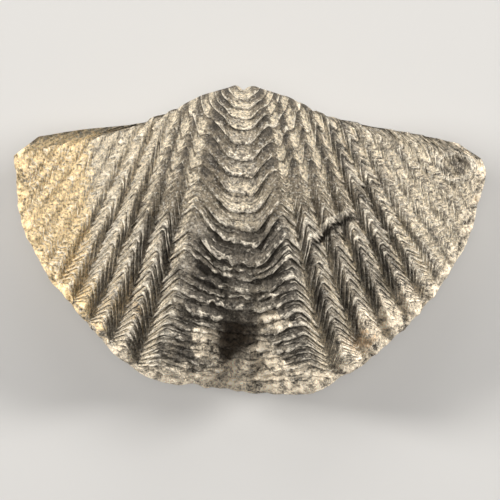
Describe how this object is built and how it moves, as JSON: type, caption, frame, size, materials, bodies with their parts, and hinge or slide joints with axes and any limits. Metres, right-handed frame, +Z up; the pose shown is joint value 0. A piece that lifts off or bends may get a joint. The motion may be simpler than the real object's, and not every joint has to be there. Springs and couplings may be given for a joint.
{
  "type": "brachiopod fossil",
  "caption": "Loose fossil brachiopod, a winged and ribbed spirifer with both valves joined, lying flat on its lower valve for display or study.",
  "frame": {"origin": "on the resting surface, under the middle of the fossil's box", "axes": "+X towards the right wing, +Y towards the beak and the hinge line, +Z up, out of the pedicle valve"},
  "size_m": [0.0278, 0.0182, 0.009],
  "materials": {
    "fossil_stone": "weathered calcite and grey lime mud, matt, with cream plates and dark grooves"
  },
  "bodies": {
    "root": {"brachiopod_fossil": "fossil_stone"}
  },
  "joints": []
}
